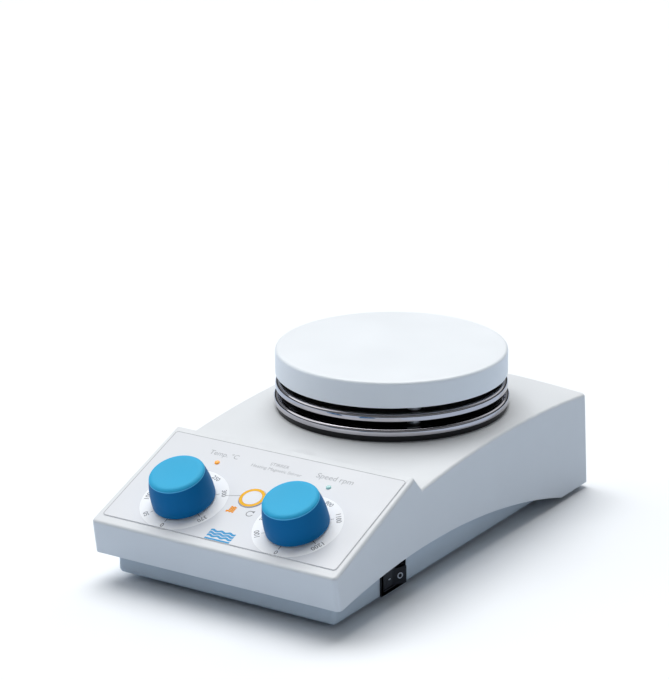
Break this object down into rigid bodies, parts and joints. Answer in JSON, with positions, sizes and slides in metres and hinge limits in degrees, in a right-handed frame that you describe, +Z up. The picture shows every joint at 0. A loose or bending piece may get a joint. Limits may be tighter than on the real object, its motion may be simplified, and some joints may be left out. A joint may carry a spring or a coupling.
{
  "type": "magnetic stirrer",
  "caption": "Heating magnetic stirrer: round white plate over a motor-driven magnet, sloped panel with turning dials, push key and a mains rocker on the side.",
  "frame": {"origin": "on the bench, under the middle of the housing's outline", "axes": "+Z up; the control panel faces -Y; the mains switch is on the +X side"},
  "size_m": [0.165, 0.28, 0.1021],
  "materials": {
    "housing_grey": "fine satin texture, very light cool grey",
    "tray_grey": "fine satin texture, light cool grey",
    "foot_rubber": "matt",
    "steel": "bright zinc-plated or stainless",
    "overlay_film": "printed film with a fine grain",
    "knob_blue": "satin blue",
    "pot_case": "die-cast",
    "lamp_orange": "translucent lens",
    "lamp_green": "translucent lens",
    "key_cap": "printed with an orange-yellow ring",
    "circuit_board": "solder mask",
    "black_plastic": "moulded",
    "rocker_black": "moulded with pale marks",
    "brass": "bright",
    "plate_white": "white glass-ceramic coating on aluminium",
    "heater_steel": "heat-stained",
    "insulation": "ceramic fibre board",
    "shield_chrome": "polished stainless steel",
    "zinc_sheet": "zinc-plated sheet",
    "laminations": "stacked laminations",
    "magnet": "ferrite",
    "capacitor_sleeve": "shrink sleeve",
    "winding_tape": "insulating tape",
    "black_aluminium": "black anodised"
  },
  "bodies": {
    "stirrer_body": {"base_screws": "steel", "base_tray": "tray_grey", "board_screws": "steel", "bushing_nuts": "steel", "capacitors": "capacitor_sleeve", "control_board": "circuit_board", "fuse_holder": "black_plastic", "heat_sink": "black_aluminium", "heater_clamp": "steel", "heater_element": "heater_steel", "heating_lamp": "lamp_orange", "hot_plate": "plate_white", "inlet_pins": "brass", "inlet_screws": "steel", "insulation_disc": "insulation", "lower_shield": "shield_chrome", "lower_spacers": "steel", "middle_spacers": "steel", "motor_bearings": "steel", "motor_bracket": "zinc_sheet", "motor_can": "zinc_sheet", "motor_lamp": "lamp_green", "motor_mounts": "foot_rubber", "motor_stator": "laminations", "panel_overlay": "overlay_film", "plate_collar": "black_plastic", "plate_sensor": "steel", "plate_studs": "steel", "power_board": "circuit_board", "power_inlet": "black_plastic", "power_triac": "black_plastic", "probe_socket": "black_plastic", "rod_socket": "steel", "rubber_feet": "foot_rubber", "speed_potentiometer": "pot_case", "stud_nuts": "steel", "switch_housing": "black_plastic", "switch_terminals": "brass", "tact_switch": "black_plastic", "temperature_potentiometer": "pot_case", "transformer_core": "laminations", "transformer_winding": "winding_tape", "upper_housing": "housing_grey", "upper_shield": "shield_chrome", "upper_spacers": "steel"},
    "temperature_dial": {"temperature_knob": "knob_blue", "temperature_shaft": "steel"},
    "speed_dial": {"speed_knob": "knob_blue", "speed_shaft": "steel"},
    "mode_button": {"mode_key": "key_cap"},
    "mains_rocker": {"switch_rocker": "rocker_black"},
    "rotor": {"rotor_shaft": "steel", "rotor_core": "laminations", "cooling_fan": "black_plastic", "magnet_carrier": "zinc_sheet", "drive_magnets": "magnet"}
  },
  "joints": [
    {"name": "temperature_turn", "type": "hinge", "parent": "stirrer_body", "child": "temperature_dial", "pos_m": [-0.038, -0.11425, 0.05777], "axis": [0, 0.3576, -0.9339], "range_deg": [0, 300]},
    {"name": "speed_turn", "type": "hinge", "parent": "stirrer_body", "child": "speed_dial", "pos_m": [0.038, -0.11425, 0.05777], "axis": [0, 0.3576, -0.9339], "range_deg": [0, 300]},
    {"name": "mode_press", "type": "slide", "parent": "stirrer_body", "child": "mode_button", "axis": [0, 0.3576, -0.9339], "range_m": [0, 0.0004], "stiffness_N_per_m": 3000},
    {"name": "mains_rock", "type": "hinge", "parent": "stirrer_body", "child": "mains_rocker", "pos_m": [0.072, -0.0705, 0.0123], "axis": [0, 0, 1], "range_deg": [0, 24]},
    {"name": "rotor_spin", "type": "hinge", "parent": "stirrer_body", "child": "rotor", "pos_m": [0, 0.046, 0.03], "axis": [0, 0, 1], "continuous": true}
  ]
}
